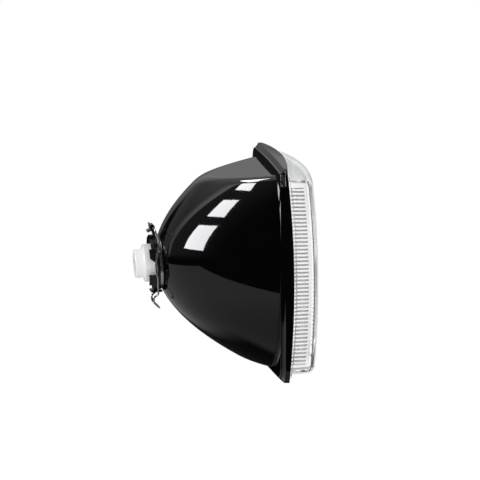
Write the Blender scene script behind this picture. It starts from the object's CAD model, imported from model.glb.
import math

import bmesh
import bpy
from bpy.props import FloatProperty, FloatVectorProperty, IntProperty, PointerProperty
from mathutils import Matrix, Vector


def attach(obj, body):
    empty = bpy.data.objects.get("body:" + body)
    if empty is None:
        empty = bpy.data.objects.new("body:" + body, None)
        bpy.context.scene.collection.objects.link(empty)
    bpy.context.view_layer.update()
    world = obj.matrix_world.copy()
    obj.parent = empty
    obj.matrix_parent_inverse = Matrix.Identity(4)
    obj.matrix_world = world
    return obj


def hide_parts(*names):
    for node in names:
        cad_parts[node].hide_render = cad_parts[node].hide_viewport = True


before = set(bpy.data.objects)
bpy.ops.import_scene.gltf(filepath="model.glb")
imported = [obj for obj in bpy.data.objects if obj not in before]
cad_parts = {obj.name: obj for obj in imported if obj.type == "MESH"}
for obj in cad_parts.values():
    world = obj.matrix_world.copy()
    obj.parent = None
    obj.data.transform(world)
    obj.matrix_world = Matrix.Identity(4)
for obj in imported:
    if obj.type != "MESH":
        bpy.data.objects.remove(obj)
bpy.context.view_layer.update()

bl_info = {
    "name": "Rectangular headlight",
    "version": (1, 0, 0),
    "blender": (4, 5, 0),
    "location": "View3D > Sidebar > Headlight",
    "description": "Dresses a rectangular headlight unit and sets its studio",
    "category": "Object",
}

MM = 0.001
PICTURE_SIDE = 480
WHITE = (1.0, 1.0, 1.0, 1.0)


# Settings that a user would change

class BowlSettings(bpy.types.PropertyGroup):
    """Sizes of the pressed reflector bowl and its stepped rim."""
    rim_width: FloatProperty(
        name="Rim width", description="Outer width of the lip", default=168.0 * MM, unit="LENGTH")
    rim_height: FloatProperty(
        name="Rim height", description="Outer height of the lip", default=140.8 * MM, unit="LENGTH")
    rim_bow: FloatProperty(
        name="Rim bow", description="Bulge of each side", default=1.8 * MM, unit="LENGTH")
    rim_corner: FloatProperty(
        name="Rim corner", description="Corner radius of the lip", default=12.3 * MM, unit="LENGTH")
    sheet: FloatProperty(
        name="Sheet", description="Thickness of the steel", default=0.9 * MM, unit="LENGTH")
    step_width: FloatProperty(
        name="Step width", description="Ledge round the seat", default=3.0 * MM, unit="LENGTH")
    step_depth: FloatProperty(
        name="Step depth", description="Height of the riser", default=2.7 * MM, unit="LENGTH")
    bend: FloatProperty(
        name="Bend", description="Radius of the rim's bends", default=1.0 * MM, unit="LENGTH")
    depth: FloatProperty(name="Bowl depth", description="Vertex to seat", default=72.5 * MM, unit="LENGTH")
    rise: FloatProperty(
        name="Vertex rise", description="Height of the vertex", default=1.0 * MM, unit="LENGTH")
    pitch: FloatProperty(
        name="Axis pitch", description="Tilt of the optical axis", default=math.radians(4.0), subtype="ANGLE")
    side_web: FloatProperty(
        name="Side web", description="Web at the sides", default=2.9 * MM, unit="LENGTH")
    top_web: FloatProperty(name="Top web", description="Web at the top", default=4.8 * MM, unit="LENGTH")
    bottom_web: FloatProperty(
        name="Bottom web", description="Web at the bottom", default=1.3 * MM, unit="LENGTH")
    draft: FloatProperty(
        name="Wall draft", description="Slope of the flat walls", default=math.radians(8.3), subtype="ANGLE")
    crease: FloatProperty(
        name="Crease", description="Softness of the creases", default=4.0 * MM, unit="LENGTH")
    neck: FloatProperty(
        name="Neck radius", description="Radius of the flat neck", default=17.4 * MM, unit="LENGTH")
    hole: FloatProperty(
        name="Bulb hole", description="Radius of the bulb hole", default=9.7 * MM, unit="LENGTH")
    lip_setback: FloatProperty(
        name="Lip setback", description="Lip behind the glass", default=15.2 * MM, unit="LENGTH")
    crown: FloatProperty(
        name="Lens crown", description="Front of the glass", default=29.38 * MM, unit="LENGTH")
    dome_drop: FloatProperty(
        name="Dome drop", description="Dome centre below middle", default=6.0 * MM, unit="LENGTH")
    dome_radius: FloatProperty(
        name="Dome radius", description="Radius of the front dome", default=610.0 * MM, unit="LENGTH")
    turns: IntProperty(name="Turns", description="Divisions round the axis", default=360, min=48)
    rings: IntProperty(name="Rings", description="Divisions along the bowl", default=110, min=16)


class LensSettings(bpy.types.PropertyGroup):
    """Sizes of the pressed glass lens."""
    rear: FloatProperty(
        name="Rear", description="Plane of the foot's rear face", default=3.65 * MM, unit="LENGTH")
    foot_inset: FloatProperty(
        name="Foot inset", description="Foot inside the lip", default=3.0 * MM, unit="LENGTH")
    foot_setback: FloatProperty(
        name="Foot setback", description="Foot behind the crown", default=13.6 * MM, unit="LENGTH")
    foot_edge: FloatProperty(
        name="Foot edge", description="Radius of the foot's edge", default=0.5 * MM, unit="LENGTH")
    inset: FloatProperty(
        name="Wall inset", description="Walls inside the lip", default=5.0 * MM, unit="LENGTH")
    wall: FloatProperty(name="Wall", description="Thickness of the walls", default=3.0 * MM, unit="LENGTH")
    front: FloatProperty(
        name="Front", description="Thickness of the front", default=3.6 * MM, unit="LENGTH")
    draft: FloatProperty(
        name="Draft", description="Slope of the walls", default=math.radians(4.5), subtype="ANGLE")
    edge: FloatProperty(
        name="Edge", description="Radius of the outer edge", default=5.0 * MM, unit="LENGTH")
    inner_edge: FloatProperty(
        name="Inner edge", description="Radius of the inner edge", default=1.2 * MM, unit="LENGTH")
    flutes: IntProperty(name="Flutes", description="Flutes in half a side wall", default=23, min=4)
    flute_depth: FloatProperty(
        name="Flute depth", description="Depth of a side flute", default=0.65 * MM, unit="LENGTH")
    optic_pitch: FloatProperty(
        name="Optic pitch", description="Width of an optic flute", default=7.0 * MM, unit="LENGTH")
    optic_depth: FloatProperty(
        name="Optic depth", description="Depth of an optic flute", default=0.8 * MM, unit="LENGTH")


class FinishSettings(bpy.types.PropertyGroup):
    """Colours of the finishes."""
    enamel: FloatVectorProperty(
        name="Enamel", description="Black enamel", default=(0.0015, 0.0015, 0.0017), subtype="COLOR")
    mirror: FloatVectorProperty(
        name="Mirror", description="Vacuum-coated mirror", default=(0.9, 0.9, 0.89), subtype="COLOR")
    glass: FloatVectorProperty(
        name="Glass", description="Pressed glass", default=(0.992, 0.997, 0.995), subtype="COLOR")
    bulb_glass: FloatVectorProperty(
        name="Bulb glass", description="Blown glass", default=(0.98, 0.985, 0.98), subtype="COLOR")
    sealant: FloatVectorProperty(
        name="Sealant", description="Black sealant", default=(0.002, 0.002, 0.002), subtype="COLOR")
    zinc: FloatVectorProperty(
        name="Zinc", description="Bright zinc plate", default=(0.74, 0.74, 0.73), subtype="COLOR")
    wire: FloatVectorProperty(
        name="Wire", description="Spring wire", default=(0.62, 0.62, 0.61), subtype="COLOR")
    black_steel: FloatVectorProperty(
        name="Black steel", description="Stamped holder", default=(0.007, 0.0065, 0.008), subtype="COLOR")
    tin: FloatVectorProperty(
        name="Tin", description="Bulb metal", default=(0.74, 0.72, 0.68), subtype="COLOR")
    nickel: FloatVectorProperty(
        name="Nickel", description="Support wires", default=(0.58, 0.56, 0.52), subtype="COLOR")
    tungsten: FloatVectorProperty(
        name="Tungsten", description="Filaments", default=(0.24, 0.24, 0.25), subtype="COLOR")
    insulation: FloatVectorProperty(
        name="Insulation", description="Base insulation", default=(0.03, 0.028, 0.03), subtype="COLOR")
    solder: FloatVectorProperty(
        name="Solder", description="Solder contacts", default=(0.6, 0.6, 0.62), subtype="COLOR")
    plastic: FloatVectorProperty(
        name="Plastic", description="White socket", default=(0.93, 0.93, 0.94), subtype="COLOR")
    brass: FloatVectorProperty(
        name="Brass", description="Tinned terminals", default=(0.8, 0.76, 0.66), subtype="COLOR")


class StageSettings(bpy.types.PropertyGroup):
    """Camera, floor and lamps."""
    azimuth: FloatProperty(
        name="Azimuth", description="Camera's turn", default=math.radians(-6.5), subtype="ANGLE")
    elevation: FloatProperty(
        name="Elevation", description="Camera's height", default=math.radians(7.2), subtype="ANGLE")
    distance: FloatProperty(name="Distance", description="Camera's distance", default=9.0, unit="LENGTH")
    pixel: FloatProperty(
        name="Pixel", description="Length of one pixel", default=0.6445 * MM, unit="LENGTH")
    origin_x: FloatProperty(
        name="Origin across", description="Column of the rim's centre", default=266.3, subtype="PIXEL")
    origin_y: FloatProperty(
        name="Origin down", description="Row of the rim's centre", default=262.0, subtype="PIXEL")
    floor_level: FloatProperty(
        name="Floor level", description="Height of the floor", default=-0.3, unit="LENGTH")
    floor_front: FloatProperty(
        name="Floor front", description="Front edge of the floor", default=-0.36, unit="LENGTH")
    floor_left: FloatProperty(
        name="Floor left", description="Left edge of the floor", default=-1.75, unit="LENGTH")
    floor_far: FloatProperty(
        name="Floor far", description="Far and right edges of the floor", default=1.15, unit="LENGTH")
    softbox: FloatProperty(name="Softbox", description="Brightness of the softboxes", default=19.0)


# Shader maths

class Value:
    """A socket whose operators add Math nodes."""

    def __init__(self, graph, socket):
        self.graph = graph
        self.socket = socket

    def math(self, operation, *values):
        """Math node on this value and others."""
        inputs = dict(enumerate((self,) + values))
        return self.graph.add("ShaderNodeMath", {"operation": operation}, inputs).value()

    def flipped(self, operation, other):
        """Math node with this value second."""
        return self.graph.add("ShaderNodeMath", {"operation": operation}, {0: other, 1: self}).value()

    def __add__(self, other):
        return self.math("ADD", other)

    def __radd__(self, other):
        return self.flipped("ADD", other)

    def __sub__(self, other):
        return self.math("SUBTRACT", other)

    def __rsub__(self, other):
        return self.flipped("SUBTRACT", other)

    def __mul__(self, other):
        return self.math("MULTIPLY", other)

    def __rmul__(self, other):
        return self.flipped("MULTIPLY", other)


class Made:
    """A node that has been added, with its outputs as values."""

    def __init__(self, graph, node):
        self.graph = graph
        self.node = node

    def value(self, name=0):
        return Value(self.graph, self.node.outputs[name])


class Graph:
    """A node tree that starts empty."""

    def __init__(self, tree):
        self.tree = tree
        tree.nodes.clear()

    def add(self, kind, settings=None, inputs=None):
        """One node: its settings come first, then the values or links of its sockets."""
        node = self.tree.nodes.new(kind)
        for name, setting in (settings or {}).items():
            setattr(node, name, setting)
        for name, value in (inputs or {}).items():
            socket = node.inputs[name]
            if isinstance(value, Value):
                self.tree.links.new(value.socket, socket)
            else:
                socket.default_value = value
        return Made(self, node)

    def place(self):
        """Place on the piece, in metres."""
        return self.add("ShaderNodeTexCoord").value("Object")

    def noise(self, scale, detail=2.0, roughness=0.5):
        """Cloudy value about a half, with features of one over the scale."""
        settings = {"noise_dimensions": "3D"}
        inputs = {"Vector": self.place(), "Scale": scale, "Detail": detail, "Roughness": roughness}
        return self.add("ShaderNodeTexNoise", settings, inputs).value("Fac")

    def tint(self, factor, first, second):
        """Colour between two colours, through the colour sockets of a Mix node."""
        inputs = {0: factor, 6: (*first, 1.0), 7: (*second, 1.0)}
        return self.add("ShaderNodeMix", {"data_type": "RGBA"}, inputs).value(2)

    def split(self, vector):
        """A vector's three parts."""
        parts = self.add("ShaderNodeSeparateXYZ", None, {"Vector": vector})
        return parts.value("X"), parts.value("Y"), parts.value("Z")

    def ramp(self, value, start, end):
        """Smooth rise from nought at the start to one at the end."""
        inputs = {"Value": value, "From Min": start, "From Max": end}
        return self.add("ShaderNodeMapRange", {"interpolation_type": "SMOOTHSTEP"}, inputs).value()

    def hump(self, value, middle, flat, reach):
        """Smooth hump of one about the middle and nought beyond its reach."""
        away = (value - middle).math("ABSOLUTE")
        return self.ramp(away, reach, flat)

    def bump(self, height, strength, distance):
        """Normal that a height tilts."""
        inputs = {"Strength": strength, "Distance": distance, "Height": height}
        return self.add("ShaderNodeBump", None, inputs).value()

    def principled(self, inputs):
        """Principled shader."""
        return self.add("ShaderNodeBsdfPrincipled", None, inputs).value()

    def blend(self, factor, first, second):
        """Shader between two shaders."""
        return self.add("ShaderNodeMixShader", None, {0: factor, 1: first, 2: second}).value()

    def surface(self, shader):
        """Shader that the material shows."""
        self.add("ShaderNodeOutputMaterial", None, {"Surface": shader})


# Materials

def shades(colour, spread):
    """A colour made a little darker and a little lighter."""
    darker = [channel * (1 - spread) for channel in colour]
    lighter = [min(1.0, channel * (1 + spread)) for channel in colour]
    return darker, lighter


def new_material(name):
    """Material with an empty graph."""
    material = bpy.data.materials.new(name)
    material.use_nodes = True
    return material, Graph(material.node_tree)


def black_enamel(finish):
    """Gloss black enamel with the faint ripple of stoved paint, dull in the recess of the rim's top."""
    material, graph = new_material("black_enamel")
    cloud = graph.noise(scale=35.0, detail=3.0)
    ripple = graph.noise(scale=260.0, detail=1.0)
    colour = graph.tint(cloud, *shades(finish.enamel, spread=0.35))
    gloss = graph.principled({
        "Base Color": colour,
        "Roughness": 0.018 + cloud * 0.03,
        "IOR": 1.5,
        "Normal": graph.bump(ripple, strength=0.04, distance=0.2 * MM),
    })
    dull = graph.principled({"Base Color": colour, "Roughness": 0.6, "Specular IOR Level": 0.05})
    x, _, z = graph.split(graph.place())
    on_seat = graph.hump(x, middle=0.0, flat=0.15 * MM, reach=0.4 * MM)
    at_top = graph.ramp(z, start=56 * MM, end=60 * MM)
    graph.surface(graph.blend(on_seat * at_top, gloss, dull))
    return material


def mirror_coat(finish):
    """Bright vacuum-coated aluminium inside the bowl."""
    material, graph = new_material("mirror_coat")
    cloud = graph.noise(scale=30.0)
    graph.surface(graph.principled({
        "Base Color": graph.tint(cloud, *shades(finish.mirror, spread=0.04)),
        "Metallic": 1.0,
        "Roughness": 0.04 + cloud * 0.05,
    }))
    return material


def clear_glass(name, colour, roughness, bends=0.5, passes=0.72):
    """Clear glass with draw marks. It bends rays below one slant and passes them straight above another."""
    material, graph = new_material(name)
    cloud = graph.noise(scale=40.0)
    bending = graph.principled({
        "Base Color": graph.tint(cloud, *shades(colour, spread=0.012)),
        "Roughness": cloud * roughness,
        "IOR": 1.5,
        "Transmission Weight": 1.0,
    })
    slant = graph.add("ShaderNodeLayerWeight", None, {"Blend": 0.5}).value("Facing")
    passing = graph.add("ShaderNodeBsdfTransparent", None, {"Color": (*colour, 1.0)}).value()
    shine = graph.principled({"Base Color": WHITE, "Metallic": 1.0, "Roughness": 0.03})
    sheen = 0.04 + slant.math("POWER", 5.0) * 0.35
    skimmed = graph.blend(sheen, passing, shine)
    graph.surface(graph.blend(graph.ramp(slant, bends, passes), bending, skimmed))
    return material


def metal(name, colour, roughness, grain_scale):
    """Metal with a fine grain in colour and gloss."""
    material, graph = new_material(name)
    grain = graph.noise(grain_scale, detail=3.0, roughness=0.6)
    cloud = graph.noise(grain_scale / 8)
    graph.surface(graph.principled({
        "Base Color": graph.tint(cloud, *shades(colour, spread=0.08)),
        "Metallic": 1.0,
        "Roughness": roughness * 0.7 + grain * roughness * 0.6,
        "Normal": graph.bump(grain, strength=0.15, distance=0.05 * MM),
    }))
    return material


def coated(name, colour, roughness, grain_scale, relief, spread=0.12, sheen=0.5):
    """Paint, plastic or sealant with a fine skin."""
    material, graph = new_material(name)
    grain = graph.noise(grain_scale, detail=3.0, roughness=0.6)
    cloud = graph.noise(grain_scale / 12)
    graph.surface(graph.principled({
        "Base Color": graph.tint(cloud, *shades(colour, spread)),
        "Roughness": roughness * 0.75 + grain * roughness * 0.5,
        "IOR": 1.5,
        "Specular IOR Level": sheen,
        "Normal": graph.bump(grain, strength=relief, distance=0.1 * MM),
    }))
    return material


# Meshes

def finish_piece(name, mesh, materials, body, nodes):
    """Object of a finished mesh that rides on a body and stands for CAD nodes."""
    piece = bpy.data.objects.new(name, mesh)
    bpy.context.scene.collection.objects.link(piece)
    for material in materials:
        mesh.materials.append(material)
    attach(piece, body)
    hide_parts(*nodes)
    return piece


def mesh_of(bm, name):
    """Mesh of a finished bmesh, which is freed."""
    mesh = bpy.data.meshes.new(name)
    bm.to_mesh(mesh)
    bm.free()
    return mesh


def soften(bm, angle):
    """Smooth faces, with the edges sharp where they turn by more than an angle."""
    for face in bm.faces:
        face.smooth = True
    for edge in bm.edges:
        edge.smooth = edge.calc_face_angle(0.0) < angle


def polished(node, name, material, body, angle=math.radians(25)):
    """A smooth-shaded copy of a CAD node."""
    bm = bmesh.new()
    bm.from_mesh(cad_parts[node].data)
    bmesh.ops.remove_doubles(bm, verts=bm.verts, dist=2e-6)
    soften(bm, angle)
    mesh = mesh_of(bm, name)
    for layer in [layer for layer in mesh.attributes if layer.name == "custom_normal"]:
        mesh.attributes.remove(layer)
    piece = finish_piece(name, mesh, [material], body, [node])
    weighted = piece.modifiers.new("even_shading", "WEIGHTED_NORMAL")
    weighted.keep_sharp = True


def rim_places(bowl, side_steps, corner_steps, top_steps):
    """Places round the lip's outline with their inward directions, one quarter mirrored to four."""
    half_width = bowl.rim_width / 2
    half_height = bowl.rim_height / 2
    side_radius = (half_height ** 2 + bowl.rim_bow ** 2) / (2 * bowl.rim_bow)
    top_radius = (half_width ** 2 + bowl.rim_bow ** 2) / (2 * bowl.rim_bow)
    side = Vector((half_width - side_radius, 0))
    top = Vector((0, half_height - top_radius))
    side_reach = side_radius - bowl.rim_corner
    top_reach = top_radius - bowl.rim_corner
    span = (top - side).length
    along = (side_reach ** 2 - top_reach ** 2 + span ** 2) / (2 * span)
    across = math.sqrt(side_reach ** 2 - along ** 2)
    direction = (top - side) / span
    corner = side + direction * along + Vector((-direction.y, direction.x)) * across
    side_end = math.atan2(corner.y - side.y, corner.x - side.x)
    top_start = math.atan2(corner.y - top.y, corner.x - top.x)

    def place_at(centre, radius, angle):
        outward = Vector((math.cos(angle), math.sin(angle)))
        return centre + outward * radius, -outward

    def flipped(place, sideways, upright):
        return [Vector((sideways * part.x, upright * part.y)) for part in place]

    arcs = (
        (side, side_radius, 0.0, side_end, side_steps),
        (corner, bowl.rim_corner, side_end, top_start, corner_steps),
        (top, top_radius, top_start, math.pi / 2, top_steps),
    )
    quarter = []
    for centre, radius, start, end, steps in arcs:
        quarter += [place_at(centre, radius, start + (end - start) * i / steps) for i in range(steps)]
    quarter.append(place_at(top, top_radius, math.pi / 2))
    upper = quarter + [flipped(place, -1, 1) for place in reversed(quarter[:-1])]
    return upper + [flipped(place, 1, -1) for place in reversed(upper[1:-1])]


def loop_of(bm, points):
    """Closed ring of edges through points."""
    verts = [bm.verts.new(point) for point in points]
    edges = [bm.edges.new(pair) for pair in zip(verts, verts[1:] + verts[:1])]
    return verts, edges


def drawn_on(bm, verts, edges, points):
    """Ring of edges extruded once and set onto new points."""
    made = set(bmesh.ops.extrude_edge_only(bm, edges=edges)["geom"])
    new_verts = []
    for old, point in zip(verts, points):
        new = next(edge.other_vert(old) for edge in old.link_edges if edge.other_vert(old) in made)
        new.co = point
        new_verts.append(new)
    fresh = set(new_verts)
    ring = [item for item in made if isinstance(item, bmesh.types.BMEdge) and set(item.verts) <= fresh]
    return new_verts, ring


def soft_least(first, second, width):
    """Lesser of two numbers, rounded where they are close."""
    nearness = max(width - abs(first - second), 0.0) / width
    return min(first, second) - nearness * nearness * width / 4


class BowlShape:
    """Derived sizes of the bowl."""

    def __init__(self, bowl):
        self.bowl = bowl
        self.axis = Matrix.Translation((-bowl.depth, 0, bowl.rise)) @ Matrix.Rotation(-bowl.pitch, 4, "Y")
        aperture = bowl.rim_width / 2 - bowl.step_width - bowl.side_web
        self.parabola = aperture ** 2 * math.cos(bowl.pitch) / bowl.depth
        self.slope = math.tan(bowl.draft)
        self.top = bowl.rim_height / 2 - bowl.step_width - bowl.top_web
        self.bottom = bowl.rim_height / 2 - bowl.step_width - bowl.bottom_web

    def dome_x(self, setback, y, z):
        """Front dome's place over a point, set back from the glass's crown."""
        bowl = self.bowl
        drop = z + bowl.dome_drop
        reach = math.sqrt(bowl.dome_radius ** 2 - y * y - drop * drop)
        return bowl.crown - setback - bowl.dome_radius + reach

    def walled(self, place, centre):
        """Point of the paraboloid drawn in towards the axis where a flat wall cuts it."""
        outward = place - centre
        share = 1.0
        for wall, sign in ((self.top, 1), (self.bottom, -1)):
            rise = sign * outward.z - self.slope * outward.x
            if rise <= 0:
                continue
            room = wall + self.slope * centre.x - sign * centre.z
            share = soft_least(share, room / rise, self.bowl.crease / outward.length)
        return centre + outward * share


def round_part(steps):
    """Shares of a quarter turn: how far out and how far along at each step."""
    turns = [math.pi / 2 * i / steps for i in range(steps + 1)]
    return [(1 - math.cos(turn), math.sin(turn)) for turn in turns]


def bowl_mesh(bowl):
    """The bowl's outer skin: a spun parabola with flat walls, a holed neck and the stepped rim."""
    shape = BowlShape(bowl)
    bm = bmesh.new()
    past_rim = 14 * MM
    last = math.sqrt(shape.parabola * (bowl.depth + past_rim))
    radii = [bowl.neck + (last - bowl.neck) * i / bowl.rings for i in range(bowl.rings + 1)]
    profile = [bm.verts.new((radius ** 2 / shape.parabola, 0, radius)) for radius in radii]
    chain = [bm.edges.new(pair) for pair in zip(profile, profile[1:])]
    spun = {"cent": (0, 0, 0), "axis": (1, 0, 0), "angle": math.tau, "steps": bowl.turns, "use_merge": True}
    bmesh.ops.spin(bm, geom=profile + chain, **spun)
    for vert in bm.verts:
        centre = shape.axis @ Vector((vert.co.x, 0, 0))
        vert.co = shape.walled(shape.axis @ vert.co, centre)
    whole = bm.verts[:] + bm.edges[:] + bm.faces[:]
    seat = {"plane_co": (0, 0, 0), "plane_no": (1, 0, 0)}
    bmesh.ops.bisect_plane(bm, geom=whole, dist=1e-7, clear_outer=True, **seat)
    open_edges = [edge for edge in bm.edges if edge.is_boundary]
    mouth = [edge for edge in open_edges if edge.verts[0].co.x > -bowl.depth / 2]
    neck = [edge for edge in open_edges if edge.verts[0].co.x < -bowl.depth / 2]
    draw_in_neck(bm, shape, neck)
    seat_edges = press_rim(bm, shape)
    bmesh.ops.bridge_loops(bm, edges=mouth + seat_edges)
    bmesh.ops.recalc_face_normals(bm, faces=bm.faces)
    soften(bm, angle=math.radians(32))
    return mesh_of(bm, "reflector_shell")


def draw_in_neck(bm, shape, edges):
    """Flat of the neck, from its outer edge in to the bulb's hole."""
    share = shape.bowl.hole / shape.bowl.neck
    to_axis = shape.axis.inverted()
    grown = bmesh.ops.extrude_edge_only(bm, edges=edges)["geom"]
    for vert in [item for item in grown if isinstance(item, bmesh.types.BMVert)]:
        local = to_axis @ vert.co
        vert.co = shape.axis @ Vector((local.x, local.y * share, local.z * share))


def press_rim(bm, shape):
    """Stepped rim from the seat to the lip. Gives back the ring of edges at the seat."""
    bowl = shape.bowl
    lip_edge = 0.15 * MM
    places = rim_places(bowl, side_steps=40, corner_steps=14, top_steps=40)

    def step_ring(inset, x):
        return [Vector((x, *(place + inward * inset))) for place, inward in places]

    def lip_ring(setback):
        return [Vector((shape.dome_x(setback, *place), *place)) for place, _ in places]

    rings = []
    for inset, rear in ((bowl.step_width, 0.0), (0.0, bowl.step_depth)):
        for out, along in round_part(steps=4):
            rings.append(step_ring(inset + bowl.bend * (1 - along), rear + bowl.bend * out))
    rings += [lip_ring(bowl.lip_setback + lip_edge), lip_ring(bowl.lip_setback)]
    verts, seat_edges = loop_of(bm, rings[0])
    edges = seat_edges
    for ring in rings[1:]:
        verts, edges = drawn_on(bm, verts, edges, ring)
    return seat_edges


class LensRings:
    """Rings of points round the lens, through which its skin is drawn."""
    FLUTE_STEPS = 6
    # Each fade lists how far a ring lies from the end of the wall, and its share of the flute's depth.
    FRONT_FADE = ((0.2 * MM, 0.35), (0.4 * MM, 0.75), (0.8 * MM, 1.0))
    FOOT_FADE = ((0.9 * MM, 1.0), (0.5 * MM, 0.75), (0.2 * MM, 0.35), (0.0, 0.0))
    # Shares of the front: the border over which its flutes fade, and the small ring that closes its middle.
    OPTIC_FADE = 0.06
    MIDDLE_SHARE = 0.008

    def __init__(self, bowl, lens):
        self.shape = BowlShape(bowl)
        self.lens = lens
        self.slope = math.tan(lens.draft)
        side_steps = lens.flutes * self.FLUTE_STEPS
        self.places = rim_places(bowl, side_steps, corner_steps=16, top_steps=100)
        self.arches = [self.arch(index, side_steps) for index in range(len(self.places))]

    def arch(self, index, side_steps):
        """Height of a side flute's arch at a place of the outline, nought on the other sides."""
        count = len(self.places)
        from_right = min(index, count - index)
        from_left = abs(count // 2 - index)
        nearest = min(from_right, from_left)
        if nearest > side_steps:
            return 0.0
        phase = nearest % self.FLUTE_STEPS / self.FLUTE_STEPS
        return 1 - (2 * phase - 1) ** 2

    def inset(self, x, depth):
        """How far a drafted wall stands inside the lip's outline, moved inwards by a depth."""
        return self.lens.inset + depth + (x - self.lens.rear) * self.slope

    def wall_top(self, place):
        """Front end of the inner wall."""
        return self.shape.dome_x(self.lens.front, *place) - self.lens.inner_edge

    def foot_front(self, place):
        """Front face of the foot."""
        return self.shape.dome_x(self.lens.foot_setback, *place)

    def foot_rear(self, place):
        """Rear face of the foot, the same all round."""
        return self.lens.rear

    def wall(self, plane, lift, depth, flute):
        """Ring on a wall, lifted off a face, with its flutes cut to a depth."""
        ring = []
        for (place, inward), arch in zip(self.places, self.arches):
            x = plane(place) + lift
            point = place + inward * (self.inset(x, depth) - arch * flute)
            ring.append(Vector((x, *point)))
        return ring

    def fluted_wall(self):
        """Inner wall from the front to the foot, with flutes that fade at both ends."""
        wall = self.lens.wall
        depth = self.lens.flute_depth
        rings = [self.wall(self.wall_top, -lift, wall, share * depth) for lift, share in self.FRONT_FADE]
        rings += [self.wall(self.foot_front, lift, wall, share * depth) for lift, share in self.FOOT_FADE]
        return rings + [self.wall(self.foot_rear, lift=0.0, depth=wall, flute=0.0)]

    def foot(self):
        """Foot from its rear face over its rounded edge to the outer wall."""
        lens = self.lens
        rings = [self.foot_ring(self.foot_rear, 0.0, lens.foot_inset)]
        for out, along in round_part(steps=3):
            lift = lens.foot_edge * (along - 1)
            rings.append(self.foot_ring(self.foot_front, lift, lens.foot_inset + lens.foot_edge * out))
        return rings + [self.wall(self.foot_front, lift=0.0, depth=0.0, flute=0.0)]

    def foot_ring(self, plane, lift, inset):
        """Ring on the foot, lifted off a face."""
        return [Vector((plane(place) + lift, *(place + inward * inset))) for place, inward in self.places]

    def edge(self, setback, depth, radius, steps):
        """Rounded edge from a wall to the front."""
        rings = []
        for out, along in round_part(steps):
            ring = []
            for place, inward in self.places:
                x = self.shape.dome_x(setback, *place)
                point = place + inward * (self.inset(x - radius, depth) + radius * out)
                ring.append(Vector((self.shape.dome_x(setback, *point) - radius * (1 - along), *point)))
            rings.append(ring)
        return rings

    def front(self, edge, setback, steps, optic):
        """Front from its edge to near the middle, with upright optic flutes that fade towards the edge."""
        rings = []
        for share in [1 - i / steps for i in range(1, steps)] + [self.MIDDLE_SHARE]:
            fade = min(1.0, (1 - share) / self.OPTIC_FADE)
            ring = []
            for start in edge:
                y = start.y * share
                z = start.z * share
                phase = (y / self.lens.optic_pitch) % 1.0
                wave = (1 - (2 * phase - 1) ** 2) * fade * optic
                ring.append(Vector((self.shape.dome_x(setback, y, z) + wave, y, z)))
            rings.append(ring)
        return rings


def lens_mesh(bowl, lens):
    """The lens as one closed skin: inner front, fluted walls, foot, outer walls and outer front."""
    rings = LensRings(bowl, lens)
    inner_edge = rings.edge(setback=lens.front, depth=lens.wall, radius=lens.inner_edge, steps=5)
    inner_front = rings.front(inner_edge[-1], setback=lens.front, steps=46, optic=lens.optic_depth)
    outer_edge = rings.edge(setback=0.0, depth=0.0, radius=lens.edge, steps=8)
    outer_front = rings.front(outer_edge[-1], setback=0.0, steps=12, optic=0.0)
    skin = inner_front[::-1] + inner_edge[::-1] + rings.fluted_wall()
    skin += rings.foot() + outer_edge + outer_front
    bm = bmesh.new()
    verts, edges = loop_of(bm, skin[0])
    bm.faces.new(verts)
    for ring in skin[1:]:
        verts, edges = drawn_on(bm, verts, edges, ring)
    bm.faces.new(verts)
    bmesh.ops.recalc_face_normals(bm, faces=bm.faces)
    soften(bm, angle=math.radians(24))
    side_facing = 0.6
    for face in bm.faces:
        face.material_index = 0 if abs(face.normal.y) > side_facing else 1
    return mesh_of(bm, "fluted_lens")


# Operators

class HEADLIGHT_OT_bowl(bpy.types.Operator):
    """Press the reflector bowl"""
    bl_idname = "headlight.bowl"
    bl_label = "Reflector bowl"

    def execute(self, context):
        finish = context.scene.headlight_finish
        bowl = context.scene.headlight_bowl
        mesh = bowl_mesh(bowl)
        coats = [black_enamel(finish), mirror_coat(finish)]
        piece = finish_piece("reflector_shell", mesh, coats, "lamp", ["reflector_bowl"])
        wall = piece.modifiers.new("sheet", "SOLIDIFY")
        wall.thickness = bowl.sheet
        wall.offset = -1.0
        wall.material_offset = 1
        wall.material_offset_rim = 0
        wall.use_even_offset = True
        return {"FINISHED"}


class HEADLIGHT_OT_lens(bpy.types.Operator):
    """Press the lens and lay its seal"""
    bl_idname = "headlight.lens"
    bl_label = "Lens and seal"

    def execute(self, context):
        finish = context.scene.headlight_finish
        mesh = lens_mesh(context.scene.headlight_bowl, context.scene.headlight_lens)
        sides = clear_glass("fluted_glass", finish.glass, roughness=0.01)
        front = clear_glass("plain_glass", finish.glass, roughness=0.01, bends=0.12, passes=0.4)
        finish_piece("fluted_lens", mesh, [sides, front], "lamp", ["lens_glass"])
        sealant = coated("sealant", finish.sealant, roughness=0.7, grain_scale=900.0, relief=0.4, sheen=0.1)
        polished("lens_seal", "sealing_bead", sealant, "lamp")
        return {"FINISHED"}


class HEADLIGHT_OT_holder(bpy.types.Operator):
    """Stamp the bulb holder with its collar and rivets"""
    bl_idname = "headlight.holder"
    bl_label = "Bulb holder"

    def execute(self, context):
        finish = context.scene.headlight_finish
        zinc = metal("zinc_plate", finish.zinc, roughness=0.28, grain_scale=900.0)
        polished("neck_collar", "neck_ring", zinc, "lamp")
        polished("holder_rivets", "rivets", zinc, "lamp")
        steel = coated("black_steel", finish.black_steel, roughness=0.22, grain_scale=700.0, relief=0.12)
        polished("bulb_holder", "stamped_holder", steel, "lamp")
        return {"FINISHED"}


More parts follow.
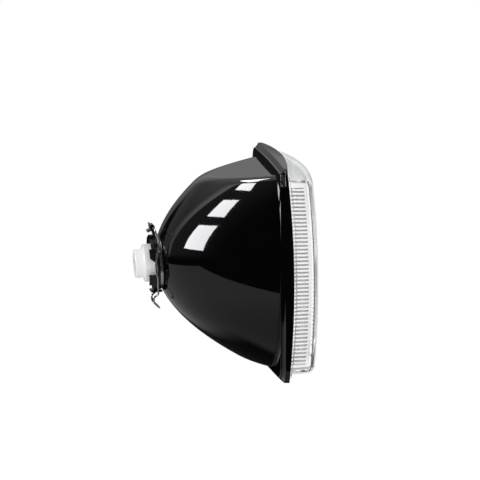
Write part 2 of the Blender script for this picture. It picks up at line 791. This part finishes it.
class HEADLIGHT_OT_bail(bpy.types.Operator):
    """Bend the wire bail"""
    bl_idname = "headlight.bail"
    bl_label = "Wire bail"

    def execute(self, context):
        finish = context.scene.headlight_finish
        steel = metal("spring_wire", finish.wire, roughness=0.1, grain_scale=1500.0)
        polished("wire_bail", "bent_wire", steel, "bail", angle=math.radians(40))
        return {"FINISHED"}


class HEADLIGHT_OT_bulb(bpy.types.Operator):
    """Make the two-filament bulb"""
    bl_idname = "headlight.bulb"
    bl_label = "Bulb"

    def execute(self, context):
        finish = context.scene.headlight_finish
        tin = metal("bulb_metal", finish.tin, roughness=0.25, grain_scale=800.0)
        polished("bulb_flange", "seating_flange", tin, "lamp")
        polished("bulb_base_shell", "base_shell", tin, "lamp")
        glass = clear_glass("bulb_glass", finish.bulb_glass, roughness=0.01)
        polished("bulb_envelope", "blown_envelope", glass, "lamp")
        polished("bulb_stem", "glass_stem", glass, "lamp")
        nickel = metal("nickel_wire", finish.nickel, roughness=0.3, grain_scale=1500.0)
        for role in ("common", "main", "dip"):
            polished("support_wire_" + role, "lead_" + role, nickel, "lamp")
        tungsten = metal("tungsten", finish.tungsten, roughness=0.4, grain_scale=3000.0)
        for role in ("main", "dip"):
            polished(role + "_filament", "coil_" + role, tungsten, "lamp")
        insulation = coated("insulation", finish.insulation, roughness=0.4, grain_scale=600.0, relief=0.2)
        polished("base_insulator", "insulating_disc", insulation, "lamp")
        solder = metal("solder", finish.solder, roughness=0.4, grain_scale=900.0)
        polished("base_contacts", "solder_dots", solder, "lamp")
        return {"FINISHED"}


class HEADLIGHT_OT_socket(bpy.types.Operator):
    """Mould the socket and set its terminals"""
    bl_idname = "headlight.socket"
    bl_label = "Socket"

    def execute(self, context):
        finish = context.scene.headlight_finish
        skin = {"roughness": 0.42, "grain_scale": 500.0, "relief": 0.06, "spread": 0.02}
        plastic = coated("white_plastic", finish.plastic, **skin)
        polished("socket_body", "moulded_socket", plastic, "lamp")
        brass = metal("terminal_brass", finish.brass, roughness=0.3, grain_scale=900.0)
        for role in ("common", "main", "dip"):
            polished("terminal_" + role, "blade_" + role, brass, "lamp")
        return {"FINISHED"}


class HEADLIGHT_OT_stage(bpy.types.Operator):
    """Set the camera, floor, backdrop and lamps"""
    bl_idname = "headlight.stage"
    bl_label = "Stage"

    def execute(self, context):
        stage = context.scene.headlight_stage
        context.scene.view_settings.view_transform = "Standard"
        set_camera(context.scene, stage)
        lay_floor(context.scene, stage)
        paint_world(context.scene)
        hang_softboxes(context.scene, stage)
        return {"FINISHED"}


# Stage

def view_axes(stage):
    """Camera's right, up and backward directions."""
    turn = stage.azimuth
    rise = stage.elevation
    back = Vector((math.sin(turn) * math.cos(rise), -math.cos(turn) * math.cos(rise), math.sin(rise)))
    right = Vector((math.cos(turn), math.sin(turn), 0))
    return right, back.cross(right), back


def set_camera(scene, stage):
    """Long lens at the picture's angle, with the rim's centre on its pixel."""
    right, up, back = view_axes(stage)
    middle = PICTURE_SIDE / 2
    target = right * (middle - stage.origin_x) * stage.pixel - up * (middle - stage.origin_y) * stage.pixel
    data = bpy.data.cameras.new("camera")
    data.sensor_width = 36.0
    data.lens = data.sensor_width * stage.distance / (PICTURE_SIDE * stage.pixel)
    data.clip_end = 4 * stage.distance
    camera = bpy.data.objects.new("camera", data)
    camera.location = target + back * stage.distance
    camera.rotation_mode = "QUATERNION"
    camera.rotation_quaternion = Matrix((right, up, back)).transposed().to_quaternion()
    scene.collection.objects.link(camera)
    scene.camera = camera


def lay_floor(scene, stage):
    """Pale table under the lamp."""
    bm = bmesh.new()
    bmesh.ops.create_grid(bm, x_segments=1, y_segments=1, size=1.0)
    for vert in bm.verts:
        x = stage.floor_far if vert.co.x > 0 else stage.floor_left
        y = stage.floor_far if vert.co.y > 0 else stage.floor_front
        vert.co = (x, y, stage.floor_level)
    mesh = mesh_of(bm, "floor")
    mesh.materials.append(pale_table())
    floor = bpy.data.objects.new("floor", mesh)
    scene.collection.objects.link(floor)


def ray_kinds(graph):
    """The light path, whether a ray came through glass, and whether a surface mirrored it."""
    path = graph.add("ShaderNodeLightPath")
    through = path.value("Is Transmission Ray")
    mirrored = path.value("Is Glossy Ray") * (1.0 - through)
    return path, through, mirrored


def pale_table():
    """White to the eye, greyer in what the paint mirrors near the lamp, and dark where its shade falls."""
    material, graph = new_material("floor")
    path, through, mirrored = ray_kinds(graph)
    seen = (path.value("Is Camera Ray") + through + mirrored).math("MINIMUM", 1.0)
    x, y, _ = graph.split(graph.place())
    reach = (x * x + y * y).math("SQRT")
    open_floor = 0.21 + graph.ramp(reach, 0.08, 0.5) * 0.22
    shade = graph.ramp(x, -0.2, -0.12) * graph.ramp(y, 0.04, 0.11)
    reflected = open_floor * (1.0 - shade * 0.95)
    under = graph.hump(x, 0.0, 0.5, 1.2) * graph.hump(y, 0.35, 0.25, 0.5)
    bright = 1.16
    level = bright + mirrored * (reflected - bright) - through * under * 0.9
    plain = graph.add("ShaderNodeBsdfDiffuse", None, {"Color": (0.86, 0.86, 0.86, 1.0)}).value()
    glow = graph.add("ShaderNodeEmission", None, {"Color": WHITE, "Strength": level}).value()
    glowing = seen * 0.88 + mirrored * 0.12
    graph.surface(graph.blend(glowing, plain, glow))
    return material


def mirrored_room(graph, backdrop, x, turn, height):
    """Brightness of the room that the paint mirrors: a streaked backdrop, side walls and a far wall.

    The turn counts in degrees from the camera's side to behind the lamp, and the height from the level.
    """
    streak = graph.ramp(turn - height, 123.0, 129.0) * graph.ramp(turn, 159.0, 154.0)
    streak = streak * graph.ramp(height, 21.0, 16.0)
    upper = graph.ramp(height, 26.0, 44.0)
    glow = graph.ramp(turn, 124.0, 114.0) * (0.3 + graph.ramp(height, 8.0, 36.0) * 0.6)
    backdrop_level = (0.24 + glow) * (1.0 - streak * 0.97) + upper * 0.3
    side_level = graph.ramp(turn, 62.0, 96.0) * 0.12
    behind = graph.ramp(turn, 160.0, 170.0)
    behind_level = graph.ramp(height, -7.0, -2.0) * 0.17 + graph.ramp(height, 5.0, 11.0) * 0.22
    above = graph.ramp(height, -5.0, 2.0) * (1.0 - behind)
    right_wall = graph.ramp(x, 0.25, 0.5) * 0.6
    walls = (side_level + backdrop * (backdrop_level - side_level)) * above
    darkest = 0.002
    return walls + behind * behind_level + right_wall + darkest


def paint_world(scene):
    """Studio round the lamp: white to the eye, a lit room to the paint, bright sides through the glass."""
    world = bpy.data.worlds.new("studio")
    world.use_nodes = True
    scene.world = world
    graph = Graph(world.node_tree)
    x, y, z = graph.split(graph.add("ShaderNodeTexCoord").value("Generated"))
    degrees = 180 / math.pi
    turn = x.math("ARCTAN2", y * -1.0).math("ABSOLUTE") * degrees
    height = z.math("ARCSINE") * degrees
    backdrop = graph.ramp(turn, 111.5, 114.0)
    room = mirrored_room(graph, backdrop, x, turn, height)
    _, through, mirrored = ray_kinds(graph)
    bright_sides = backdrop.math("MAXIMUM", graph.ramp(x, -0.05, 0.3))
    beyond = 0.1 + bright_sides * graph.ramp(height, 16.0, 6.0) * 1.05
    level = 1.0 + mirrored * (room - 1.0) + through * (beyond - 1.0)
    shine = graph.add("ShaderNodeBackground", None, {"Color": WHITE, "Strength": level})
    graph.add("ShaderNodeOutputWorld", None, {"Surface": shine.value()})


def hang_softboxes(scene, stage):
    """Four panes of soft light, one above another, to the lamp's left."""
    panes = {
        "low": ((-1.49, 0.10, 0.71), (-1.47, -0.29, 0.70), (-1.61, -0.37, 0.14), (-1.64, 0.11, 0.19)),
        "middle": ((-1.24, 0.20, 1.06), (-1.25, -0.07, 1.08), (-1.40, -0.23, 0.85), (-1.41, 0.12, 0.86)),
        "high": ((-1.02, 0.38, 1.23), (-1.04, 0.18, 1.26), (-1.16, 0.00, 1.17), (-1.14, 0.27, 1.15)),
        "top": ((-0.93, 0.44, 1.29), (-0.57, 0.99, 1.19), (-0.50, 0.86, 1.31), (-0.88, 0.41, 1.33)),
    }
    material, graph = new_material("softbox")
    cool_white = (0.97, 0.97, 1.0, 1.0)
    glow = graph.add("ShaderNodeEmission", None, {"Color": cool_white, "Strength": stage.softbox})
    graph.surface(glow.value())
    for name, corners in panes.items():
        bm = bmesh.new()
        bm.faces.new([bm.verts.new(corner) for corner in corners])
        mesh = mesh_of(bm, "softbox_" + name)
        mesh.materials.append(material)
        pane = bpy.data.objects.new("softbox_" + name, mesh)
        pane.visible_camera = False
        pane.visible_diffuse = False
        scene.collection.objects.link(pane)


# Panel and registration

class HEADLIGHT_PT_panel(bpy.types.Panel):
    """Lists the pieces of the headlight"""
    bl_label = "Headlight"
    bl_idname = "HEADLIGHT_PT_panel"
    bl_space_type = "VIEW_3D"
    bl_region_type = "UI"
    bl_category = "Headlight"

    def draw(self, context):
        for operator in OPERATORS:
            self.layout.operator(operator.bl_idname)
        for name in SETTINGS:
            group = getattr(context.scene, name)
            for prop in group.bl_rna.properties:
                if prop.identifier not in ("name", "rna_type"):
                    self.layout.prop(group, prop.identifier)


OPERATORS = (
    HEADLIGHT_OT_bowl,
    HEADLIGHT_OT_lens,
    HEADLIGHT_OT_holder,
    HEADLIGHT_OT_bail,
    HEADLIGHT_OT_bulb,
    HEADLIGHT_OT_socket,
    HEADLIGHT_OT_stage,
)
SETTINGS = {
    "headlight_bowl": BowlSettings,
    "headlight_lens": LensSettings,
    "headlight_finish": FinishSettings,
    "headlight_stage": StageSettings,
}
CLASSES = (*SETTINGS.values(), *OPERATORS, HEADLIGHT_PT_panel)


def register():
    for cls in CLASSES:
        bpy.utils.register_class(cls)
    for name, group in SETTINGS.items():
        setattr(bpy.types.Scene, name, PointerProperty(type=group))


def unregister():
    for name in SETTINGS:
        delattr(bpy.types.Scene, name)
    for cls in reversed(CLASSES):
        bpy.utils.unregister_class(cls)


def main():
    register()
    bpy.ops.headlight.bowl()
    bpy.ops.headlight.lens()
    bpy.ops.headlight.holder()
    bpy.ops.headlight.bail()
    bpy.ops.headlight.bulb()
    bpy.ops.headlight.socket()
    bpy.ops.headlight.stage()


if __name__ == "__main__":
    main()
